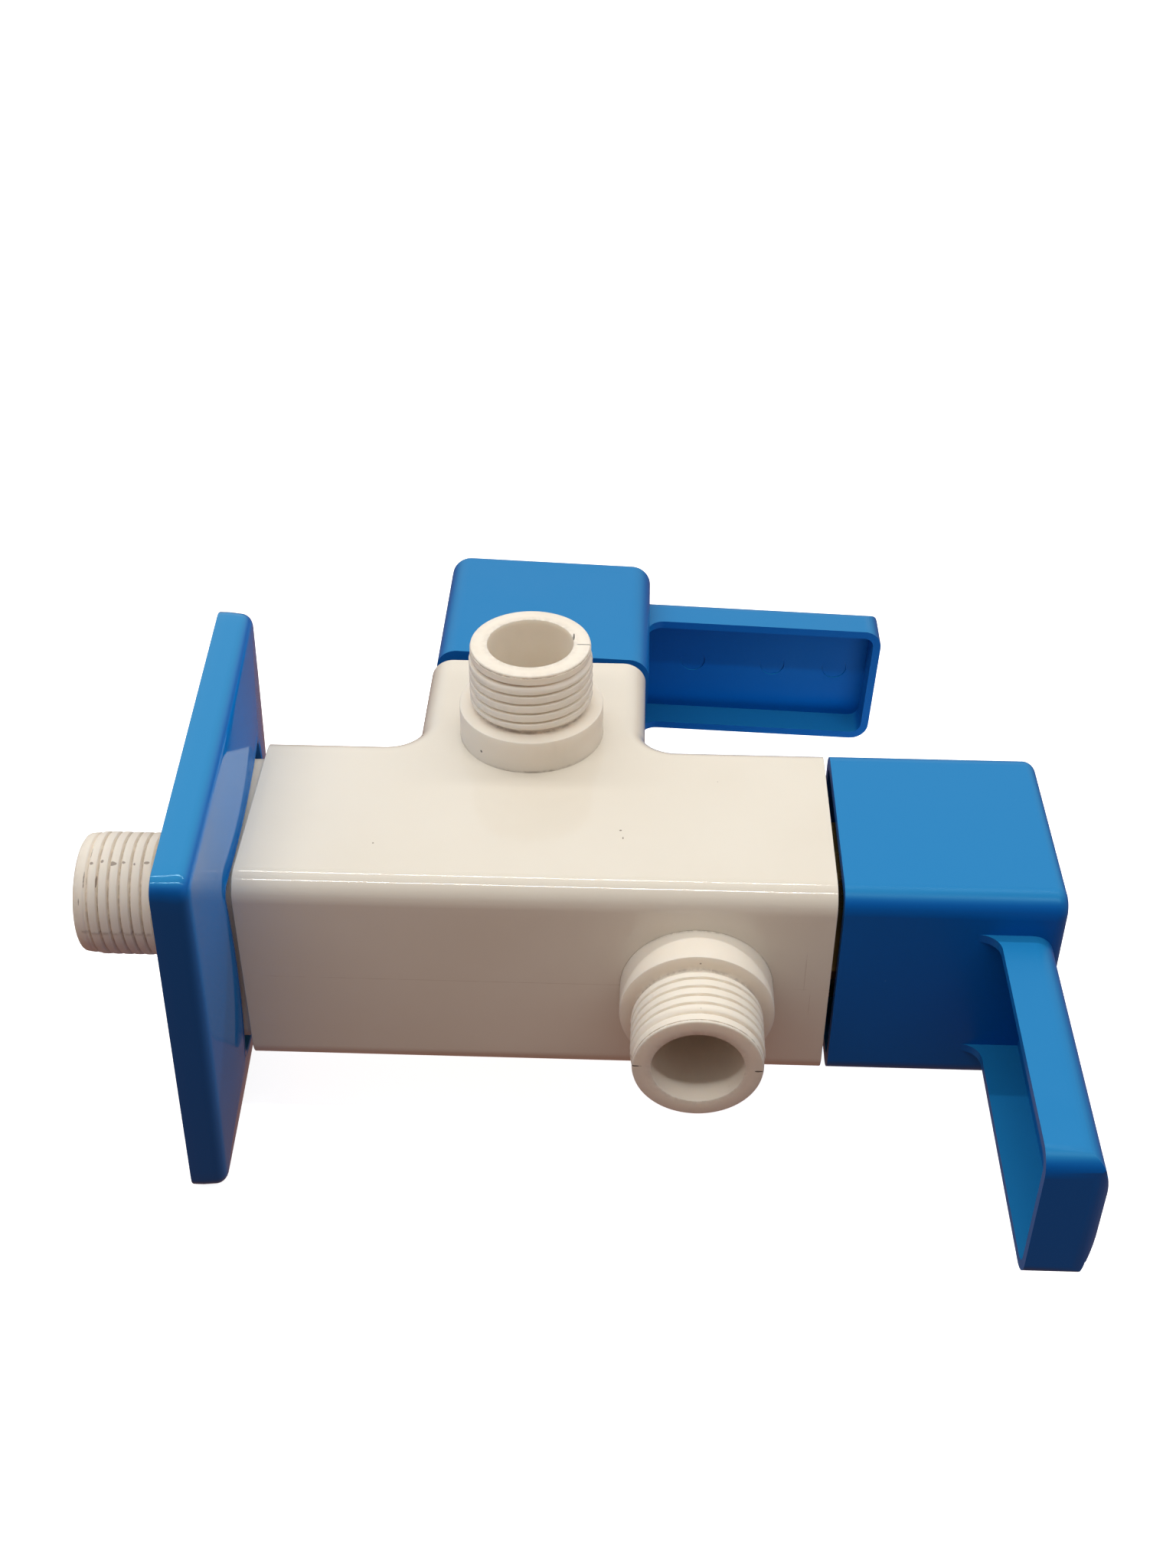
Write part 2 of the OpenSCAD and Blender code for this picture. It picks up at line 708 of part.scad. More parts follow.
module handle() {
    room_w = cap_w - 2 * cap_wall;
    room_top = cap_end - cover_h - head_h;
    color("#2f7fc4") difference() {
        union() {
            difference() {
                union() {
                    rolled_block(cap_w, cap_edge_r, outer_edge_r, cap_start, cap_end);
                    lever_outside();
                }
                translate([0, 0, cap_start - 1]) linear_extrude(room_top - cap_start + 1)
                    rounded_square(room_w, room_w, cap_edge_r - cap_wall);
                lever_hollow();
            }
            translate([0, 0, hub_start]) cylinder(h = room_top - hub_start + 1, d = hub_d);
            for (a = [0, 90]) rotate([0, 0, a])
                translate([-room_w / 2 - 0.5, -rib_t / 2, hub_start + 1])
                    cube([room_w + 1, rib_t, room_top - hub_start]);
        }
        translate([0, 0, hub_start - 1]) linear_extrude(web_start - hub_start + 1) spline_outline(seat_clear);
        translate([0, 0, web_start - 1]) cylinder(h = web_h + 2, d = screw_d + screw_clear);
        translate([0, 0, web_start + web_h])
            cylinder(h = cap_end, d = screw_head_d + head_room + 2 * seat_clear);
        translate([0, 0, cap_end - cover_h]) cylinder(h = cover_h + 1, d = cover_d);
    }
}

valve_core();
body_jacket();
wall_flange();

at_end() bonnet();  // end_bonnet
at_end() bonnet_ring();  // end_bonnet_ring
at_end() seat_seal();  // end_seat_seal
at_end() fixed_disc();  // end_fixed_disc
at_end_turned() moving_disc();  // end_moving_disc
at_end_turned() spindle();  // end_spindle
at_end_turned() spindle_rings();  // end_spindle_rings
at_end_turned() thrust_washer();  // end_thrust_washer
at_end_turned() circlip();  // end_circlip
at_end_turned() stop_ring();  // end_stop_ring
at_end_turned() handle();  // end_handle
at_end_turned() handle_screw();  // end_handle_screw
at_end_turned() index_cover();  // end_index_cover

at_rear() bonnet();  // rear_bonnet
at_rear() bonnet_ring();  // rear_bonnet_ring
at_rear() seat_seal();  // rear_seat_seal
at_rear() fixed_disc();  // rear_fixed_disc
at_rear_turned() moving_disc();  // rear_moving_disc
at_rear_turned() spindle();  // rear_spindle
at_rear_turned() spindle_rings();  // rear_spindle_rings
at_rear_turned() thrust_washer();  // rear_thrust_washer
at_rear_turned() circlip();  // rear_circlip
at_rear_turned() stop_ring();  // rear_stop_ring
at_rear_handle() handle();  // rear_handle
at_rear_handle() handle_screw();  // rear_handle_screw
at_rear_handle() index_cover();  // rear_index_cover
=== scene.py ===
"""Looks for the two-way angle valve: refined solids, helical threads, a crowned wall flange and plastics."""
import json
import math

import bmesh
import bpy
import numpy as np
from mathutils import Matrix, Vector


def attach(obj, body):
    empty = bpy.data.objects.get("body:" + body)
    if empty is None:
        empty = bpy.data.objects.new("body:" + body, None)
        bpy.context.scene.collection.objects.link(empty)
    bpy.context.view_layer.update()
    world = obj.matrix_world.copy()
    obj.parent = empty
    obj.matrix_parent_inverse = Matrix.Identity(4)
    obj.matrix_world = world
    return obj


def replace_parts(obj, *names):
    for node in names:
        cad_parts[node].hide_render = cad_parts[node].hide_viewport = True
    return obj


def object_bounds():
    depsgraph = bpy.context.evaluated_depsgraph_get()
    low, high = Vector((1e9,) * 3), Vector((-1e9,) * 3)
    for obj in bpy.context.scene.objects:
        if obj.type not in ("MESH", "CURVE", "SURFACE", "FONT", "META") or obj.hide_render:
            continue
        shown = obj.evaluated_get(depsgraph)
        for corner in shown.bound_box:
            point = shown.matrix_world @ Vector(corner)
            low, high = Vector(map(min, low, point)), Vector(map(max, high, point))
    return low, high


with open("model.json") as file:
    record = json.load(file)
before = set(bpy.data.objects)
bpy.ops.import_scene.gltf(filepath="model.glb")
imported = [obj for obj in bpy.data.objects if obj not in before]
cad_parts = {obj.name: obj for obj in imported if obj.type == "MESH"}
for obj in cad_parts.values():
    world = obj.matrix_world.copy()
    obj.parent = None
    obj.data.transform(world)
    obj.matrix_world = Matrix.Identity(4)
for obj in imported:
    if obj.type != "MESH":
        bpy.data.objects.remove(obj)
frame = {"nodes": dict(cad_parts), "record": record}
cad_lo, cad_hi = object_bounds()
NODES = frame["nodes"]
MOUNTS = {m["name"]: m for m in frame["record"]["mounts"]}
JOINTS = {j["name"]: j for j in frame["record"]["behaviour"]["joints"]}
MM = 0.001

# ---- Sizes of the solids, in millimetres and degrees ---------------------------------------
THREAD_R = 10.4775
THREAD_PITCH = 1.814
LEAD_STEP = 0.3
BODY_HALF = 19.7
CORE_HALF = 18.1
COLLAR_R = 12.3
COLLAR_TOP = 25.8
RIM = 37.65
OUTLET_LEAD = 2.0
OUTLET_CRESTS = 5
OUTLET_BORE_R = 7.225
NIPPLE_START = 2.0
NIPPLE_END = 20.1
NIPPLE_CRESTS = 11
NIPPLE_BORE_R = 7.2
CAP_ROOM = 17.6
TRAY_FLOOR = 53.1
REAR_LIFT = 1.15
REAR_SAG = 2.2
FLANGE_HALF = 35.3
FLANGE_T = 5.8
FLANGE_CROWN = 2.8
FLANGE_WALL = 2.0
FLANGE_EDGE_R = 2.0
FLANGE_CORNER_R = 3.0
HOLE_HALF = 19.05
HOLE_R = 2.0
FLANGE_PIVOT = 3.9
FLANGE_TURN, FLANGE_LEAN_Y, FLANGE_LEAN_Z = 2.9, 2.5, 2.1

# ---- Sizes that only the looks have, in millimetres and degrees ----------------------------
WELD = 0.002
FLAT_ANGLE = 0.3
SHARP_ANGLE = 28
CAP_SHARP_ANGLE = 38
THREAD_SHARP_ANGLE = 40
FLANGE_SHARP_ANGLE = 35
BREAK_ANGLE = 30
CUT_ROOM = 0.05
NECK_CUT_ROOM = 0.02
NIPPLE_RUN_IN = 1.2
FRONT_THREAD_DEPTH = 0.85
TOP_THREAD_DEPTH = 1.162
NIPPLE_THREAD_DEPTH = 0.7
OUTLET_CHAMFER = 0.25
NIPPLE_CHAMFER = 0.7
NIPPLE_SEAM_X = -4.6
THREAD_COLUMNS = 256
ROWS_PER_PITCH = 16
SEAM_HEIGHT = 0.05
SEAM_REACH = 0.9994
CAP_EDGE = 0.6
JACKET_EDGE = 0.3
PLUG_EDGE = 0.15
EJECTOR_REACH = (29.3, 45.4, 58.0)
EJECTOR_R = 2.5
EJECTOR_DEPTH = 0.22
EJECTOR_DRAFT = 0.12
PILLOW_LIFT, PILLOW_TILT_Y, PILLOW_TILT_Z = 0.62, 0.06, -0.22
HOLE_FRONT = 4.5
FLANGE_BACK_R = 0.3
FLANGE_EASE = 0.4

# ---- Directions: each lever's turning axis and the way it reaches at rest ------------------
LEVER_WAY = {"end": ((1, 0, 0), (0, -1, 0)),
             "rear": ((0, 1, 0), (math.cos(math.radians(REAR_SAG)), 0, -math.sin(math.radians(REAR_SAG))))}

# ---- Camera, light and floor, in metres and degrees ----------------------------------------
CAMERA_AT = (0.07224, -0.23591, 0.20672)
CAMERA_TURN, CAMERA_DIP, CAMERA_ROLL = 1.745, 37.493, 0.274
CAMERA_LENS_MM = 42.353
STRIP_SIZE = (0.9, 0.008)
STRIP_REACH = 0.155
STRIP_HEIGHT = 0.45
STRIP_RADIANCE = {"strip_front": 50.0, "strip_back": 42.0}
STRIP_COLOUR = (1, 0.985, 0.965)
BOUNCE_AT = (0.125, 0.02, -0.036)
BOUNCE_TARGET = (0.097, 0.075, 0.0)
BOUNCE_SIZE = (0.05, 0.03)
BOUNCE_RADIANCE = 6.0
BOUNCE_COLOUR = (0.7, 0.95, 1)
ROOM_SLOPE = (-0.06, 0.36, 0)
ROOM_LEVEL = 0.50
ROOM_FADE = (-0.05, 0.35)
ROOM_LOW_COLOUR = (0.215, 0.11, 0.085, 1)
ROOM_SEEN_COLOUR = (0.93, 0.93, 0.93, 1)
FLOOR_REACH = 6.0
FLOOR_GLOW = 0.88

# ---- Colours that several materials share --------------------------------------------------
BLUE_TINT = (0.45, 0.85, 1.0)
BLUE_SPECK = (0.15, 0.35, 0.55)
PLASTIC_REACH = (1.0, 0.86, 0.72)


# ---- Camera --------------------------------------------------------------------------------
def make_camera():
    data = bpy.data.cameras.new("photo_camera")
    data.sensor_width = 36
    data.lens = CAMERA_LENS_MM
    data.clip_start = 0.01
    cam = bpy.data.objects.new("photo_camera", data)
    bpy.context.scene.collection.objects.link(cam)
    turn = (Matrix.Rotation(math.radians(CAMERA_TURN), 4, "Z")
            @ Matrix.Rotation(math.radians(90 - CAMERA_DIP), 4, "X")
            @ Matrix.Rotation(math.radians(CAMERA_ROLL), 4, "Z"))
    cam.matrix_world = Matrix.Translation(CAMERA_AT) @ turn
    bpy.context.scene.camera = cam


# ---- Materials -----------------------------------------------------------------------------
# Places of the colour sockets in a Mix node, whose names are shared with its other kinds.
MIX_UNDER, MIX_OVER, MIX_RESULT = 6, 7, 2


class Paint:
    """A node material built step by step; its patterns lie in the object's own space, in metres."""

    def __init__(self, name, base, roughness, specular=0.5, tint=(1, 1, 1)):
        self.material = bpy.data.materials.new(name)
        self.material.use_nodes = True
        self.tree = self.material.node_tree
        self.shader = self.tree.nodes["Principled BSDF"]
        self.shader.inputs["Roughness"].default_value = roughness
        self.shader.inputs["Specular IOR Level"].default_value = specular
        self.shader.inputs["Specular Tint"].default_value = (*tint, 1)
        self.coords = self.node("ShaderNodeTexCoord").outputs["Object"]
        self.base = (*base, 1)
        self.colour = None

    def node(self, kind, **settings):
        made = self.tree.nodes.new(kind)
        for key, value in settings.items():
            setattr(made, key, value)
        return made

    def link(self, a, b):
        self.tree.links.new(a, b)

    def noise(self, scale, detail=3.0, roughness=0.5, stretch=None):
        tex = self.node("ShaderNodeTexNoise")
        tex.inputs["Scale"].default_value = scale
        tex.inputs["Detail"].default_value = detail
        tex.inputs["Roughness"].default_value = roughness
        source = self.coords
        if stretch:
            mapping = self.node("ShaderNodeMapping")
            mapping.inputs["Scale"].default_value = stretch
            self.link(self.coords, mapping.inputs["Vector"])
            source = mapping.outputs["Vector"]
        self.link(source, tex.inputs["Vector"])
        return tex.outputs["Fac"]

    def span(self, value, low, high, to_low=0.0, to_high=1.0, smooth=False):
        ramp = self.node("ShaderNodeMapRange")
        ramp.interpolation_type = "SMOOTHSTEP" if smooth else "LINEAR"
        limits = {"From Min": low, "From Max": high, "To Min": to_low, "To Max": to_high}
        for socket, number in limits.items():
            ramp.inputs[socket].default_value = number
        self.link(value, ramp.inputs["Value"])
        return ramp.outputs["Result"]

    def math(self, operation, a, b):
        node = self.node("ShaderNodeMath", operation=operation)
        for socket, value in zip(node.inputs, (a, b)):
            if isinstance(value, (int, float)):
                socket.default_value = value
            else:
                self.link(value, socket)
        return node.outputs["Value"]

    def mix(self, factor, colour):
        """Lays a colour over what is there already, where factor is 1."""
        node = self.node("ShaderNodeMix", data_type="RGBA")
        self.link(factor, node.inputs["Factor"])
        if self.colour is None:
            node.inputs[MIX_UNDER].default_value = self.base
        else:
            self.link(self.colour, node.inputs[MIX_UNDER])
        node.inputs[MIX_OVER].default_value = (*colour, 1)
        self.colour = node.outputs[MIX_RESULT]

    def facing(self, direction, low, high, colour, amount=1.0):
        """Lays another colour on the faces that look along a direction of the object."""
        dot = self.node("ShaderNodeVectorMath", operation="DOT_PRODUCT")
        self.link(self.node("ShaderNodeTexCoord").outputs["Normal"], dot.inputs[0])
        dot.inputs[1].default_value = direction
        self.mix(self.span(dot.outputs["Value"], low, high, 0.0, amount, True), colour)

    def mottle(self, colour, scale=45.0, low=0.42, high=0.68, amount=1.0):
        """Soft clouds of another colour."""
        self.mix(self.span(self.noise(scale, 4.0), low, high, 0.0, amount), colour)

    def specks(self, colour, scale, size, share, amount=0.8):
        """Scattered small specks, one in each of a share of the cells of a Voronoi pattern."""
        cells = self.node("ShaderNodeTexVoronoi")
        cells.inputs["Scale"].default_value = scale
        self.link(self.coords, cells.inputs["Vector"])
        dot = self.span(cells.outputs["Distance"], size * 0.6, size, amount, 0.0)
        split = self.node("ShaderNodeSeparateColor")
        self.link(cells.outputs["Color"], split.inputs["Color"])
        chosen = self.math("LESS_THAN", split.outputs["Red"], share)
        self.mix(self.math("MULTIPLY", dot, chosen), colour)

    def attribute_shade_and_grime(self, name, colour, scale=900.0, amount=0.8):
        """Broken-up darkening where a mesh attribute says how much; on the threaded ends it is painted shade
        in the thread roots and creases, with grime along the seam.
        """
        tag = self.node("ShaderNodeAttribute", attribute_name=name)
        broken = self.span(self.noise(scale, 3.0, 0.6), 0.35, 0.6)
        self.mix(self.math("MULTIPLY", self.math("MULTIPLY", tag.outputs["Fac"], broken), amount), colour)

    def marks(self, spots, colour, amount=0.9, ragged=900.0):
        """Small ragged marks, each (centre, half sizes) in millimetres."""
        wobble = self.span(self.noise(ragged, 2.0), 0.3, 0.7, -0.45, 0.45)
        total = None
        for centre, half in spots:
            mapping = self.node("ShaderNodeMapping", vector_type="TEXTURE")
            mapping.inputs["Location"].default_value = [c * MM for c in centre]
            mapping.inputs["Scale"].default_value = [h * MM for h in half]
            self.link(self.coords, mapping.inputs["Vector"])
            length = self.node("ShaderNodeVectorMath", operation="LENGTH")
            self.link(mapping.outputs["Vector"], length.inputs[0])
            mask = self.span(self.math("ADD", length.outputs["Value"], wobble), 0.75, 1.1, amount, 0.0)
            total = mask if total is None else self.math("MAXIMUM", total, mask)
        self.mix(total, colour)

    def glow_through(self, weight, reach):
        """Light that goes into the plastic and comes out again a little further on."""
        self.shader.inputs["Subsurface Weight"].default_value = weight
        self.shader.inputs["Subsurface Radius"].default_value = PLASTIC_REACH
        self.shader.inputs["Subsurface Scale"].default_value = reach

    def vary_roughness(self, low, high, scale=120.0):
        self.link(self.span(self.noise(scale, 3.0), 0.3, 0.7, low, high), self.shader.inputs["Roughness"])

    def bump(self, layers):
        """Fine relief; each layer is (scale, strength, distance in millimetres)."""
        normal = None
        for scale, strength, distance in layers:
            bump = self.node("ShaderNodeBump")
            bump.inputs["Strength"].default_value = strength
            bump.inputs["Distance"].default_value = distance * MM
            self.link(self.noise(scale, 2.0), bump.inputs["Height"])
            if normal is not None:
                self.link(normal, bump.inputs["Normal"])
            normal = bump.outputs["Normal"]
        self.link(normal, self.shader.inputs["Normal"])

    def done(self):
        if self.colour is not None:
            self.link(self.colour, self.shader.inputs["Base Color"])
        return self.material


def core_material():
    p = Paint("core_matte", (0.91, 0.83, 0.715), 0.5, 0.45)
    p.glow_through(0.4, 0.0018)
    p.mottle((0.87, 0.785, 0.66), 60.0, 0.45, 0.75)
    p.specks((0.10, 0.06, 0.03), 420.0, 0.10, 0.05)
    # Painted shade in the thread roots, the collar crease and the rim groove, with grime along the seam,
    # taken from the mesh attribute.
    p.attribute_shade_and_grime("shade_and_grime", (0.22, 0.15, 0.09))
    seam_ticks = []
    for i in range(8):
        centre = (NIPPLE_SEAM_X - i * THREAD_PITCH, -3.6 - 0.3 * (i % 2), 9.75)
        seam_ticks.append((centre, (0.30 + 0.12 * (i % 3), 0.32, 0.4)))
    scratches = [((-17.6, -2.4, 10.1), (0.09, 1.5, 0.7)), ((-18.2, -6.0, 8.3), (0.10, 1.2, 1.5)),
                 ((-16.1, -6.6, 7.9), (0.08, 0.9, 1.0)), ((-18.9, -8.6, 5.0), (0.10, 0.5, 1.9))]
    p.marks(seam_ticks + scratches, (0.20, 0.13, 0.09), 0.7)
    p.marks([((63.6, 22.6, 37.6), (1.5, 0.12, 0.4)), ((61.8, 24.8, 37.7), (0.12, 0.9, 0.4)),
             ((73.8, -37.6, 0.3), (0.9, 0.5, 0.12)), ((92.6, -37.6, -0.2), (0.8, 0.5, 0.14)),
             ((46.6, 13.3, 21.8), (0.25, 0.25, 0.25)), ((85.0, -30.2, 10.2), (1.1, 0.16, 0.3))],
            (0.03, 0.02, 0.015), 0.85)
    p.vary_roughness(0.42, 0.58)
    p.bump([(900.0, 0.25, 0.02), (120.0, 0.2, 0.06)])
    return p.done()


def jacket_material():
    p = Paint("jacket_gloss", (0.82, 0.755, 0.645), 0.05, 0.6)
    p.glow_through(0.12, 0.0015)
    p.mottle((0.795, 0.725, 0.61), 30.0, 0.45, 0.75)
    p.specks((0.12, 0.08, 0.05), 240.0, 0.035, 0.035)
    p.marks([((57.0, -19.75, 0.1), (46.0, 0.4, 0.07)), ((100.5, -19.7, 4.0), (0.1, 0.4, 3.5)),
             ((101.6, -19.7, -3.0), (0.08, 0.4, 2.6))], (0.62, 0.53, 0.43), 0.45, 300.0)
    p.marks([((70.5, -4.3, 19.7), (0.22, 0.2, 0.3)), ((70.9, -6.2, 19.7), (0.12, 0.3, 0.3)),
             ((35.6, 21.5, 19.0), (0.3, 0.16, 0.4)), ((31.0, -9.0, 19.7), (0.14, 0.14, 0.3)),
             ((86.4, 9.2, 19.7), (0.12, 0.12, 0.3))], (0.16, 0.11, 0.07), 0.8)
    p.vary_roughness(0.02, 0.05)
    p.bump([(700.0, 0.04, 0.02), (60.0, 0.08, 0.05)])
    return p.done()


def blue_material(name, base, deep, rough, relief, specular, lit, shaded, outer_light):
    """Blue plastic; its last three colour scales paint light and shade: painted light on the top faces,
    painted shade on the front faces and painted light and reflection on the faces towards +X.
    """
    p = Paint(name, base, rough[0], specular, BLUE_TINT)
    p.mottle(deep, 40.0, 0.4, 0.75)
    # Painted light: the top faces get a lighter colour.
    p.facing((0, 0, 1), 0.55, 0.95, [base[i] * lit[i] for i in range(3)], 0.9)
    # Painted shade: the front faces get a darker colour.
    p.facing((0, -1, 0), 0.5, 0.95, [base[i] * shaded[i] for i in range(3)], 0.9)
    # Painted light and reflection: the faces towards +X get their colour scaled, which makes the flange's
    # front lighter.
    p.facing((1, 0, 0), 0.8, 0.98, [base[i] * outer_light[i] for i in range(3)], 0.9)
    p.specks(BLUE_SPECK, 300.0, 0.03, 0.04, 0.35)
    p.vary_roughness(*rough)
    p.bump(relief)
    return p.done()


def plain_material(name, base, deep, rough, metallic=0.0, scale=300.0):
    p = Paint(name, base, rough[0])
    p.shader.inputs["Metallic"].default_value = metallic
    p.mottle(deep, scale)
    p.vary_roughness(*rough)
    p.bump([(scale * 3, 0.2, 0.01)])
    return p.done()


def make_materials():
    flange_relief = [(700.0, 0.04, 0.02), (50.0, 0.12, 0.05)]
    handle_relief = [(800.0, 0.12, 0.02), (70.0, 0.2, 0.05)]
    # The last three colour scales of each blue look are painted light on the top faces, painted shade on the
    # front faces and painted light and reflection on the faces towards +X.
    handle_looks = ((0.30, 0.40), handle_relief, 0.3, (2.2, 1.52, 1.08), (0, 0.7, 0.9), (1, 1, 1))
    materials = {
        "core_matte": core_material(),
        "jacket_gloss": jacket_material(),
        "flange_blue": blue_material("flange_blue", (0.01, 0.155, 0.53), (0.008, 0.142, 0.49), (0.05, 0.09),
                                     flange_relief, 0.45, (2.5, 1.62, 1.0), (0, 0.5, 0.58), (0, 1.45, 1.4)),
        "handle_blue": blue_material("handle_blue", (0.006, 0.145, 0.47), (0.004, 0.132, 0.44),
                                     *handle_looks),
        "cover_blue": blue_material("cover_blue", (0.006, 0.13, 0.43), (0.004, 0.118, 0.40),
                                    *handle_looks),
    }
    plain = {
        "brass": ((0.62, 0.42, 0.15), (0.55, 0.36, 0.12), (0.22, 0.34), 1.0),
        "seal_rubber": ((0.02, 0.02, 0.02), (0.03, 0.03, 0.028), (0.6, 0.75)),
        "ceramic": ((0.86, 0.84, 0.80), (0.82, 0.80, 0.75), (0.1, 0.18)),
        "washer_plastic": ((0.80, 0.77, 0.70), (0.75, 0.72, 0.64), (0.4, 0.55)),
        "spring_steel": ((0.42, 0.43, 0.45), (0.36, 0.37, 0.39), (0.25, 0.4), 1.0),
        "screw_steel": ((0.58, 0.59, 0.60), (0.52, 0.53, 0.54), (0.2, 0.35), 1.0),
    }
    for name, looks in plain.items():
        materials[name] = plain_material(name, *looks)
    return materials


# ---- Meshes --------------------------------------------------------------------------------
def add_object(name, mesh, slot, body, materials):
    """An object with one material that rides on a body."""
    obj = bpy.data.objects.new(name, mesh)
    bpy.context.scene.collection.objects.link(obj)
    mesh.materials.clear()
    mesh.materials.append(materials[slot])
    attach(obj, body)
    return obj


def smooth_by_angle(mesh, degrees):
    """Smooth shading, with the edges that turn by more than some degrees kept sharp."""
    bm = bmesh.new()
    bm.from_mesh(mesh)
    limit = math.radians(degrees)
    for face in bm.faces:
        face.smooth = True
    for edge in bm.edges:
        edge.smooth = len(edge.link_faces) == 2 and edge.calc_face_angle(0) < limit
    bm.to_mesh(mesh)
    bm.free()


def apply_modifiers(obj):
    """Puts an object's modifiers into its mesh."""
    evaluated = obj.evaluated_get(bpy.context.evaluated_depsgraph_get())
    mesh = bpy.data.meshes.new_from_object(evaluated)
    obj.modifiers.clear()
    obj.data = mesh


def solid_copy(node, cuts=()):
    """A cleaned copy of a CAD node's mesh, with the far side of each cut plane taken off and closed."""
    bm = bmesh.new()
    bm.from_mesh(NODES[node].data)
    for layer in list(bm.loops.layers.uv):
        bm.loops.layers.uv.remove(layer)
    bmesh.ops.remove_doubles(bm, verts=bm.verts, dist=WELD * MM)
    for point, normal in cuts:
        whole = bm.verts[:] + bm.edges[:] + bm.faces[:]
        made = bmesh.ops.bisect_plane(bm, geom=whole, plane_co=[c * MM for c in point], plane_no=normal,
                                      clear_outer=True, dist=1e-7)
        rim = [e for e in made["geom_cut"] if isinstance(e, bmesh.types.BMEdge)]
        bmesh.ops.triangle_fill(bm, use_beauty=True, use_dissolve=False, edges=rim)
    bmesh.ops.dissolve_limit(bm, angle_limit=math.radians(FLAT_ANGLE), use_dissolve_boundaries=False,
                             verts=bm.verts, edges=bm.edges, delimit={"NORMAL"})
    bmesh.ops.recalc_face_normals(bm, faces=bm.faces)
    mesh = bpy.data.meshes.new(node + "_copy")
    bm.to_mesh(mesh)
    bm.free()
    return mesh


def weigh_edges(mesh, axis_point, axis, inner):
    """Marks for the bevel the sharp edges that lie further than inner from an axis."""
    bm = bmesh.new()
    bm.from_mesh(mesh)
    weight = bm.edges.layers.float.new("bevel_weight_edge")
    for edge in bm.edges:
        away = (edge.verts[0].co + edge.verts[1].co) / 2 - axis_point * MM
        radius = (away - axis * away.dot(axis)).length
        sharp = len(edge.link_faces) == 2 and edge.calc_face_angle(0) > math.radians(BREAK_ANGLE)
        edge[weight] = 1.0 if sharp and radius > inner * MM else 0.0
    bm.to_mesh(mesh)
    bm.free()


def refined(name, node, slot, body, materials, width, segments=2, outside_of=None):
    """A copy of a CAD node with its sharp edges broken."""
    mesh = solid_copy(node)
    smooth_by_angle(mesh, SHARP_ANGLE)
    if outside_of:
        weigh_edges(mesh, *outside_of)
    obj = add_object(name, mesh, slot, body, materials)
    bevel = obj.modifiers.new("edges", "BEVEL")
    bevel.width = width * MM
    bevel.segments = segments
    bevel.limit_method = "WEIGHT" if outside_of else "ANGLE"
    bevel.angle_limit = math.radians(BREAK_ANGLE)
    bevel.harden_normals = True
    bevel.miter_outer = "MITER_ARC"
    apply_modifiers(obj)
    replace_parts(obj, node)
    return obj


def grid_mesh(name, rows):
    """A closed mesh from rings of equal length, each ring joined to the next and the last to the first."""
    rows = np.asarray(rows, float)
    n_rows, n_cols = rows.shape[:2]
    verts = rows.reshape(-1, 3) * MM
    faces = []
    for i in range(n_rows):
        k = (i + 1) % n_rows
        for j in range(n_cols):
            m = (j + 1) % n_cols
            faces.append((i * n_cols + j, i * n_cols + m, k * n_cols + m, k * n_cols + j))
    mesh = bpy.data.meshes.new(name)
    mesh.from_pydata(verts.tolist(), [], faces)
    mesh.validate()
    bm = bmesh.new()
    bm.from_mesh(mesh)
    bmesh.ops.recalc_face_normals(bm, faces=bm.faces)
    bm.to_mesh(mesh)
    bm.free()
    return mesh


def smoothstep(x):
    x = np.clip(x, 0, 1)
    return x * x * (3 - 2 * x)


def crest_shape(t):
    """Height of the thread across one pitch: a narrow groove between wide, slightly rounded crests."""
    flank = 1 - np.abs(2 * t - 1)
    return smoothstep((flank - 0.04) / 0.28) * (0.88 + 0.12 * np.sin(flank * math.pi / 2))


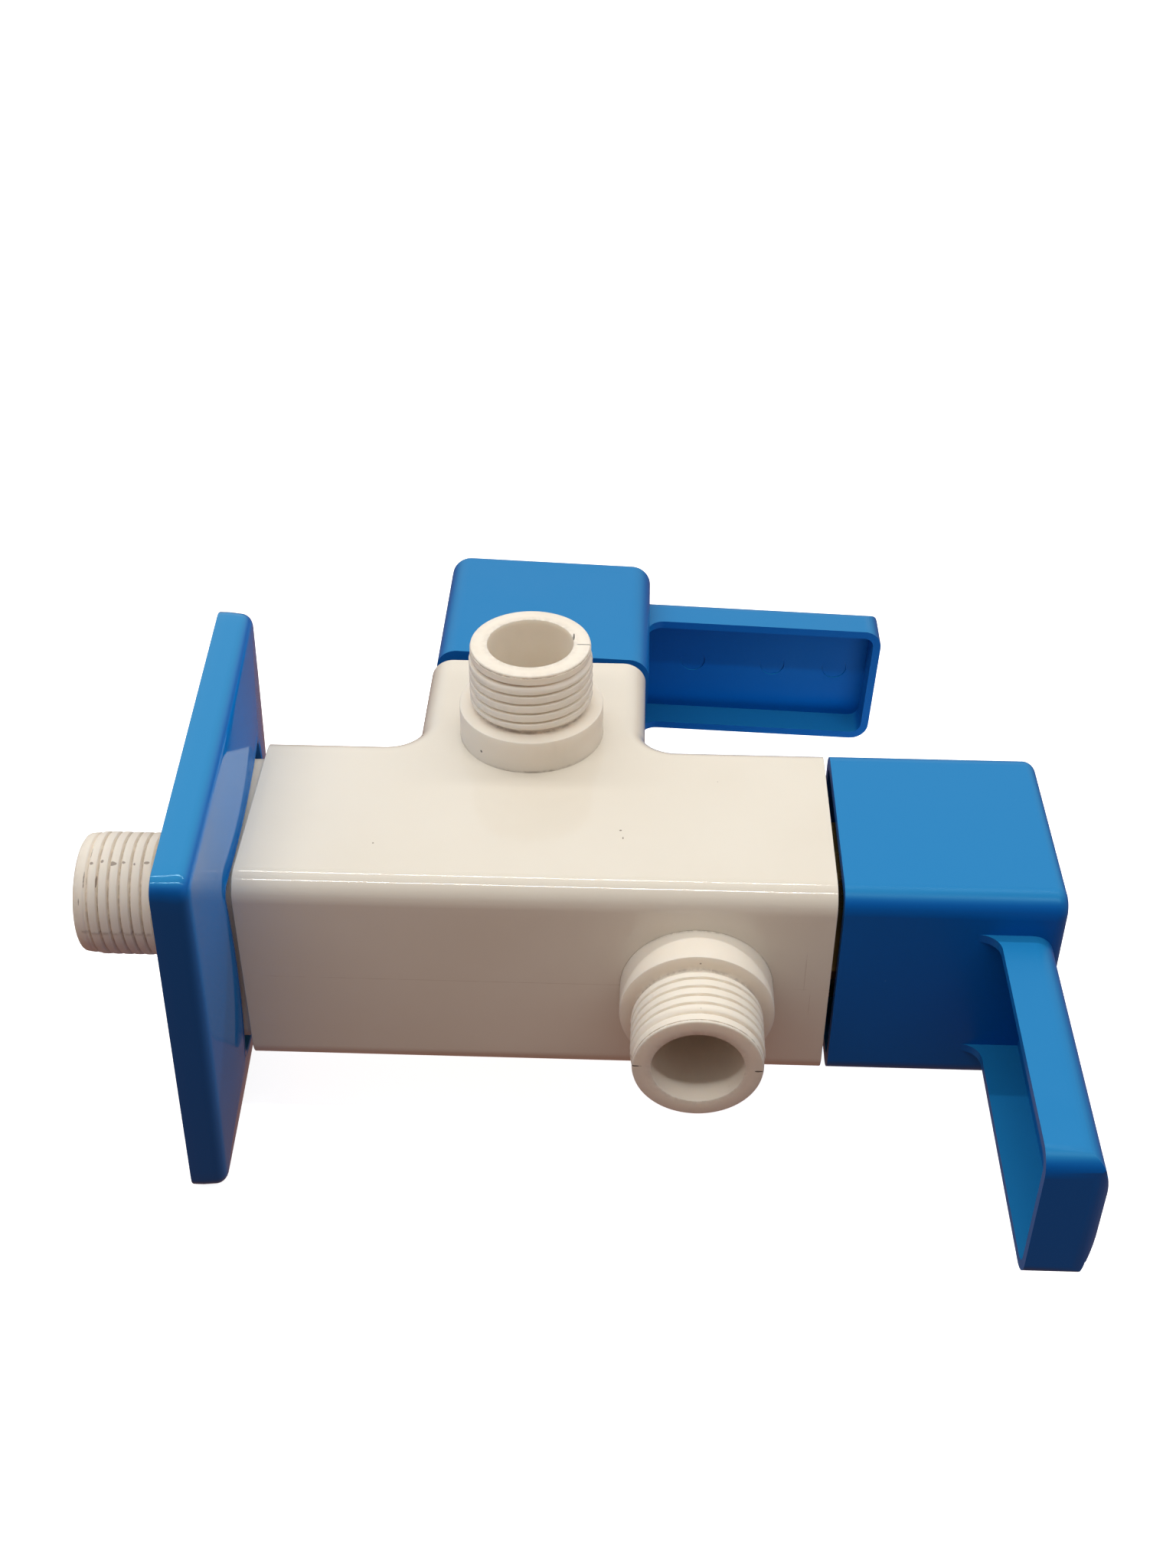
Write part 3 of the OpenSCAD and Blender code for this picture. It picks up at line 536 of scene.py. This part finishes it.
def threaded_tube(name, matrix, start, collar, first, crests, rim, chamfer, depth, bore_r, seed):
    """One threaded end: an optional collar, the helical thread, a plain lead and the bore, along local Z.

    start, first and rim are heights in millimetres; the seam's ridges lie at local +-Y."""
    root = THREAD_R - depth
    lead_r = THREAD_R - LEAD_STEP
    rng = np.random.default_rng(seed)
    theta = np.arange(THREAD_COLUMNS) * 2 * math.pi / THREAD_COLUMNS
    last = first + crests * THREAD_PITCH
    wave = rng.uniform(-1, 1, 4)
    lump = sum(w * np.cos((k + 2) * theta + 2 * k) for k, w in enumerate(wave)) * 0.012
    rows = []
    # For each ring, how much painted shade darkens the thread roots, the collar creases, the rim groove and
    # the bore's edge, with grime on the seam ridge.
    shade_and_grime = []

    def put(height, radius, shade_and_grime_amount=0.0):
        radius = np.broadcast_to(radius, THREAD_COLUMNS)
        height = np.full(THREAD_COLUMNS, height)
        rows.append(np.stack([radius * np.cos(theta), radius * np.sin(theta), height], 1))
        shade_and_grime.append(np.broadcast_to(shade_and_grime_amount, THREAD_COLUMNS))

    if collar:
        for height in (start, BODY_HALF - 0.15, BODY_HALF + 0.1, BODY_HALF + 0.5, COLLAR_TOP - 2,
                       COLLAR_TOP - 0.22):
            # Painted shade in the crease where the collar meets the body.
            shade_and_grime_amount = 0.55 if abs(height - BODY_HALF) < 0.3 else 0.0
            put(height, COLLAR_R, shade_and_grime_amount * (0.5 + 0.5 * np.sin(3 * theta + 1)))
        put(COLLAR_TOP - 0.07, COLLAR_R - 0.05)
        put(COLLAR_TOP, COLLAR_R - 0.2)
        put(COLLAR_TOP, root + 1.1)
        # Painted shade in the crease between the collar's top and the thread.
        put(COLLAR_TOP, root + 0.45, 0.15)
        put(COLLAR_TOP + 0.08, root + 0.2, 0.5)
        put(COLLAR_TOP + 0.3, root, 0.3)
    else:
        put(start, root)
    seam = np.maximum(np.abs(np.sin(theta)) - SEAM_REACH, 0) / (1 - SEAM_REACH)
    steps = (crests + 1) * ROWS_PER_PITCH
    for height in np.linspace(first - THREAD_PITCH / 2, last + THREAD_PITCH / 2, steps + 1):
        if collar and height < COLLAR_TOP + 0.35:
            continue
        t = np.mod((height - first) / THREAD_PITCH - theta / (2 * math.pi), 1.0)
        run_in = smoothstep((height - first) / THREAD_PITCH + 0.5)
        run_out = smoothstep((last - height) / THREAD_PITCH + 0.5)
        shape = crest_shape(t) * (run_in * run_out)
        plain = root + (lead_r - root) * smoothstep((height - last) / 0.4)
        radius = plain + (THREAD_R - 0.03 - plain) * shape + lump * shape + SEAM_HEIGHT * seam * shape
        # Painted shade in the thread roots, and grime on the seam ridge.
        put(height, np.minimum(radius, THREAD_R), (1 - shape) ** 3 * 0.4 * (height < last) + 0.5 * seam)
    put(last + THREAD_PITCH / 2 + 0.05, lead_r)
    if collar:
        put(rim - 0.52, lead_r)
        # Painted shade in the small groove below the rim.
        put(rim - 0.46, lead_r - 0.12, 0.9)
        put(rim - 0.38, lead_r - 0.08, 0.4)
    for angle in np.radians((0, 22, 45, 68, 90)):
        put(rim - chamfer * (1 - math.sin(angle)), lead_r - 0.08 - chamfer * (1 - math.cos(angle)), 0.1)
    tip_r = lead_r - chamfer
    put(rim, (tip_r + bore_r) / 2)
    put(rim, bore_r + 0.16, 0.2)
    put(rim - 0.05, bore_r + 0.05, 0.35)
    put(rim - 0.2, bore_r)
    for height in np.linspace(rim - 1, start, 10):
        put(height, bore_r)
    local = np.asarray(rows)
    flat = local.reshape(-1, 3)
    world = flat @ np.array(matrix.to_3x3()).T + np.array(matrix.translation)
    mesh = grid_mesh(name, world.reshape(local.shape))
    tag = mesh.attributes.new("shade_and_grime", "FLOAT", "POINT")
    tag.data.foreach_set("value", np.asarray(shade_and_grime, np.float32).ravel())
    smooth_by_angle(mesh, THREAD_SHARP_ANGLE)
    return mesh


def station_matrix(mount, towards):
    """Local Z along the mount's axis and local X towards a side, which sets where the helix starts."""
    axis = Vector(MOUNTS[mount]["axis"]).normalized()
    side = Vector(towards).normalized()
    turn = Matrix((side, axis.cross(side), axis)).transposed().to_4x4()
    turn.translation = Vector(MOUNTS[mount]["pos_m"]) / MM
    return turn


def make_ends(materials):
    """The three threaded ends; an outlet's heights count from the inlet axis, the nipple's from the wall."""
    outlet_first = RIM - OUTLET_LEAD - OUTLET_CRESTS * THREAD_PITCH
    # Each outlet: its name, the side from which its helix starts, its thread's depth and its seed.
    outlets = (("front_outlet", (0, 0, 1), FRONT_THREAD_DEPTH, 3),
               ("top_outlet", (0, -1, 0), TOP_THREAD_DEPTH, 5))
    for name, towards, depth, seed in outlets:
        mount = name + "_thread"
        matrix = station_matrix(mount, towards)
        centre = Vector(MOUNTS[mount]["pos_m"]) / MM
        axis = Vector(MOUNTS[mount]["axis"])
        matrix.translation = centre - axis * abs(centre.dot(axis))
        mesh = threaded_tube(name, matrix, CORE_HALF + CUT_ROOM, True, outlet_first, OUTLET_CRESTS, RIM,
                             OUTLET_CHAMFER, depth, OUTLET_BORE_R, seed)
        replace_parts(add_object(name, mesh, "core_matte", "valve_body", materials), "valve_core")
    matrix = station_matrix("inlet_thread", (0, 0, 1))
    mesh = threaded_tube("inlet_nipple", matrix, -NIPPLE_START - NIPPLE_RUN_IN, False, -NIPPLE_START,
                         NIPPLE_CRESTS, NIPPLE_END, NIPPLE_CHAMFER, NIPPLE_THREAD_DEPTH, NIPPLE_BORE_R, 8)
    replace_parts(add_object("inlet_nipple", mesh, "core_matte", "valve_body", materials), "valve_core")


def make_core(materials):
    """The core's square block, without the three threaded ends."""
    reach = CORE_HALF + CUT_ROOM
    wall_cut = ((NIPPLE_START - NECK_CUT_ROOM, 0, 0), (-1, 0, 0))
    top_cut = ((0, 0, reach), (0, 0, 1))
    front_cut = ((0, -reach, 0), (0, -1, 0))
    mesh = solid_copy("valve_core", (wall_cut, top_cut, front_cut))
    smooth_by_angle(mesh, SHARP_ANGLE)
    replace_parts(add_object("core_block", mesh, "core_matte", "valve_body", materials), "valve_core")


def make_cap(station, outward, along, materials):
    """A handle with the three round ejector marks in its tray's floor."""
    axis_point = Vector(JOINTS[station + "_lever_turn"]["pos_m"]) / MM
    outward, along = Vector(outward), Vector(along)
    cap = refined(station + "_lever_cap", station + "_handle", "handle_blue", station + "_control",
                  materials, CAP_EDGE, 3, (axis_point, outward, CAP_ROOM))
    floor = TRAY_FLOOR + (REAR_LIFT if station == "rear" else 0.0)
    bm = bmesh.new()
    turn = outward.to_track_quat("Z", "Y").to_matrix().to_4x4()
    for reach in EJECTOR_REACH:
        place = Matrix.Translation((axis_point + along * reach + outward * floor) * MM) @ turn
        bmesh.ops.create_cone(bm, cap_ends=True, segments=40, radius1=EJECTOR_R * MM,
                              radius2=(EJECTOR_R - EJECTOR_DRAFT) * MM, depth=2 * EJECTOR_DEPTH * MM,
                              matrix=place)
    mesh = bpy.data.meshes.new("ejectors")
    bm.to_mesh(mesh)
    bm.free()
    pins = bpy.data.objects.new("ejectors", mesh)
    bpy.context.scene.collection.objects.link(pins)
    cut = cap.modifiers.new("ejector_marks", "BOOLEAN")
    cut.operation = "DIFFERENCE"
    cut.solver = "EXACT"
    cut.object = pins
    apply_modifiers(cap)
    bpy.data.objects.remove(pins)
    smooth_by_angle(cap.data, CAP_SHARP_ANGLE)
    weighted = cap.modifiers.new("normals", "WEIGHTED_NORMAL")
    weighted.mode = "FACE_AREA"
    weighted.weight = 100
    weighted.keep_sharp = True
    apply_modifiers(cap)


# ---- Wall flange ---------------------------------------------------------------------------
def square_ring(half, corner_r, per_side=28, per_corner=8):
    """Points of a rounded square, as (y, z), always the same number."""
    points = []
    straight = half - corner_r
    for quarter in range(4):
        a = quarter * math.pi / 2
        across = np.array([-math.sin(a), math.cos(a)])
        out = np.array([math.cos(a), math.sin(a)])
        for s in np.linspace(-straight, straight, per_side, endpoint=False):
            points.append(out * half + across * s)
        for c in np.linspace(0, math.pi / 2, per_corner, endpoint=False):
            turned = np.array([math.cos(a + c), math.sin(a + c)])
            points.append((out + across) * straight + turned * corner_r)
    return np.array(points)


def flange_front(yz, drop=0.0):
    """Height of the pillow-shaped front over the wall plane, raised a little more around the hole."""
    crown = (1 - (yz[:, 0] / FLANGE_HALF) ** 2) * (1 - (yz[:, 1] / FLANGE_HALF) ** 2)
    out = (np.abs(yz).max(axis=1) - HOLE_HALF) / (FLANGE_HALF - HOLE_HALF)
    tilt = PILLOW_TILT_Y * yz[:, 0] / HOLE_HALF + PILLOW_TILT_Z * yz[:, 1] / HOLE_HALF
    lift = (PILLOW_LIFT + tilt) * smoothstep(1 - out)
    return FLANGE_T + FLANGE_CROWN * np.clip(crown, 0, 1) + lift - drop


def make_flange(materials):
    """The wall flange as one grid of rounded squares: outside, front, hole, back of the tube and hollow."""
    outer = square_ring(FLANGE_HALF, FLANGE_CORNER_R)
    hole = square_ring(HOLE_HALF, HOLE_R)
    hollow = square_ring(FLANGE_HALF - FLANGE_WALL, FLANGE_CORNER_R / 2)
    tube = square_ring(HOLE_HALF + FLANGE_WALL, HOLE_R + 1)
    rows = []

    def put(yz, x):
        rows.append(np.column_stack([np.broadcast_to(x, len(yz)), yz]))

    put(outer * (1 - FLANGE_BACK_R / FLANGE_HALF), 0.0)
    put(outer * (1 - 0.08 / FLANGE_HALF), 0.08)
    put(outer, FLANGE_BACK_R)
    put(outer, 2.0)
    for angle in np.linspace(0, 90, 9):
        inset = FLANGE_EDGE_R * (1 - math.cos(math.radians(angle)))
        ring = square_ring(FLANGE_HALF - inset, FLANGE_CORNER_R - inset + FLANGE_EASE)
        put(ring, flange_front(ring) - FLANGE_EDGE_R * (1 - math.sin(math.radians(angle))))
    rim = square_ring(FLANGE_HALF - FLANGE_EDGE_R, FLANGE_CORNER_R - FLANGE_EDGE_R + FLANGE_EASE)
    near_hole = square_ring(HOLE_HALF + 1.1, HOLE_R + 0.5)
    for s in np.linspace(0, 1, 15)[1:]:
        ring = rim * (1 - s) + near_hole * s
        put(ring, flange_front(ring))
    for out, dip in ((1.0, 0.1), (0.85, 0.1), (0.75, 0.0), (0.3, 0.0), (0.08, 0.09)):
        put(hole * (1 + out / HOLE_HALF), flange_front(hole) - dip)
    put(hole, flange_front(hole) - 0.35)
    put(hole, HOLE_FRONT)
    put(hole, 2.2)
    put(hole * (1 + 0.2 / HOLE_HALF), NIPPLE_START)
    put(tube, NIPPLE_START)
    put(tube, flange_front(tube, FLANGE_WALL))
    for s in np.linspace(0, 1, 7)[1:]:
        ring = tube * (1 - s) + hollow * s
        put(ring, flange_front(ring, FLANGE_WALL))
    put(hollow, 2.0)
    put(hollow, 0.0)
    local = np.asarray(rows)
    lean = (Matrix.Translation((FLANGE_PIVOT, 0, 0))
            @ Matrix.Rotation(math.radians(FLANGE_TURN), 4, "X")
            @ Matrix.Rotation(math.radians(FLANGE_LEAN_Y), 4, "Y")
            @ Matrix.Rotation(math.radians(FLANGE_LEAN_Z), 4, "Z")
            @ Matrix.Translation((-FLANGE_PIVOT, 0, 0)))
    flat = local.reshape(-1, 3) @ np.array(lean.to_3x3()).T + np.array(lean.translation)
    mesh = grid_mesh("flange_plate", flat.reshape(local.shape))
    smooth_by_angle(mesh, FLANGE_SHARP_ANGLE)
    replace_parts(add_object("flange_plate", mesh, "flange_blue", "flange", materials), "wall_flange")


# ---- Light and floor -----------------------------------------------------------------------
def panel(name, centre, target, size, radiance, colour=(1, 1, 1)):
    """A soft light panel; its power grows with its area, so radiance alone sets how bright it looks."""
    data = bpy.data.lights.new(name, "AREA")
    data.shape = "RECTANGLE"
    data.size, data.size_y = size
    data.energy = radiance * math.pi * size[0] * size[1]
    data.color = colour
    obj = bpy.data.objects.new(name, data)
    bpy.context.scene.collection.objects.link(obj)
    obj.visible_camera = False
    aim = (Vector(target) - Vector(centre)).to_track_quat("-Z", "Y")
    obj.matrix_world = Matrix.Translation(centre) @ aim.to_matrix().to_4x4()
    return obj


def make_world():
    """A room that is bright at the back and dim in front, warm and dark below; the camera sees it pale."""
    world = bpy.data.worlds.new("soft_room")
    world.use_nodes = True
    tree = world.node_tree
    direction = tree.nodes.new("ShaderNodeTexCoord").outputs["Generated"]
    across = tree.nodes.new("ShaderNodeVectorMath")
    across.operation = "DOT_PRODUCT"
    across.inputs[1].default_value = ROOM_SLOPE
    level = tree.nodes.new("ShaderNodeMath")
    level.inputs[1].default_value = ROOM_LEVEL
    split = tree.nodes.new("ShaderNodeSeparateXYZ")
    height = tree.nodes.new("ShaderNodeMapRange")
    height.interpolation_type = "SMOOTHSTEP"
    height.inputs["From Min"].default_value = ROOM_FADE[0]
    height.inputs["From Max"].default_value = ROOM_FADE[1]
    upper = tree.nodes.new("ShaderNodeCombineColor")
    blend = tree.nodes.new("ShaderNodeMix")
    blend.data_type = "RGBA"
    blend.inputs[MIX_UNDER].default_value = ROOM_LOW_COLOUR
    tree.links.new(direction, across.inputs[0])
    tree.links.new(across.outputs["Value"], level.inputs[0])
    tree.links.new(direction, split.inputs[0])
    tree.links.new(split.outputs["Z"], height.inputs["Value"])
    for channel in ("Red", "Green", "Blue"):
        tree.links.new(level.outputs["Value"], upper.inputs[channel])
    tree.links.new(height.outputs["Result"], blend.inputs["Factor"])
    tree.links.new(upper.outputs["Color"], blend.inputs[MIX_OVER])
    seen = tree.nodes.new("ShaderNodeMix")
    seen.data_type = "RGBA"
    seen.inputs[MIX_OVER].default_value = ROOM_SEEN_COLOUR
    tree.links.new(tree.nodes.new("ShaderNodeLightPath").outputs["Is Camera Ray"], seen.inputs["Factor"])
    tree.links.new(blend.outputs[MIX_RESULT], seen.inputs[MIX_UNDER])
    tree.links.new(seen.outputs[MIX_RESULT], tree.nodes["Background"].inputs["Color"])
    bpy.context.scene.world = world


def make_stage():
    """Two long strip lights, a small bounce light from below and a pale floor that glows."""
    make_world()
    middle = (cad_lo + cad_hi) / 2
    for name, side in (("strip_front", -1), ("strip_back", 1)):
        panel(name, (middle.x, STRIP_REACH * side, STRIP_HEIGHT), (middle.x, 0, 0), STRIP_SIZE,
              STRIP_RADIANCE[name], STRIP_COLOUR)
    low = panel("low_bounce", BOUNCE_AT, BOUNCE_TARGET, BOUNCE_SIZE, BOUNCE_RADIANCE, BOUNCE_COLOUR)
    low.visible_glossy = False
    corners = [(x * FLOOR_REACH, y * FLOOR_REACH, cad_lo.z) for x, y in ((-1, -1), (1, -1), (1, 1), (-1, 1))]
    mesh = bpy.data.meshes.new("floor")
    mesh.from_pydata(corners, [], [(0, 1, 2, 3)])
    floor = bpy.data.objects.new("floor", mesh)
    bpy.context.scene.collection.objects.link(floor)
    p = Paint("floor_pale", (0.9, 0.9, 0.9), 0.9, 0.0)
    p.mottle((0.885, 0.885, 0.885), 3.0)
    p.shader.inputs["Emission Color"].default_value = (1, 1, 1, 1)
    p.shader.inputs["Emission Strength"].default_value = FLOOR_GLOW
    mesh.materials.append(p.done())
    floor.visible_diffuse = False
    floor.visible_glossy = False
    bpy.context.scene.view_settings.view_transform = "Standard"


# ---- The object ----------------------------------------------------------------------------
def main():
    make_camera()
    materials = make_materials()
    for slot in frame["record"]["subparts"]:
        node = NODES[slot["node"]]
        node.data.materials.clear()
        node.data.materials.append(materials[slot["material_slot"]])
    make_core(materials)
    make_ends(materials)
    refined("jacket_skin", "body_jacket", "jacket_gloss", "valve_body", materials, JACKET_EDGE)
    for station in ("end", "rear"):
        make_cap(station, *LEVER_WAY[station], materials)
        refined(station + "_plug", station + "_index_cover", "cover_blue", station + "_control", materials,
                PLUG_EDGE)
    make_flange(materials)
    make_stage()


main()
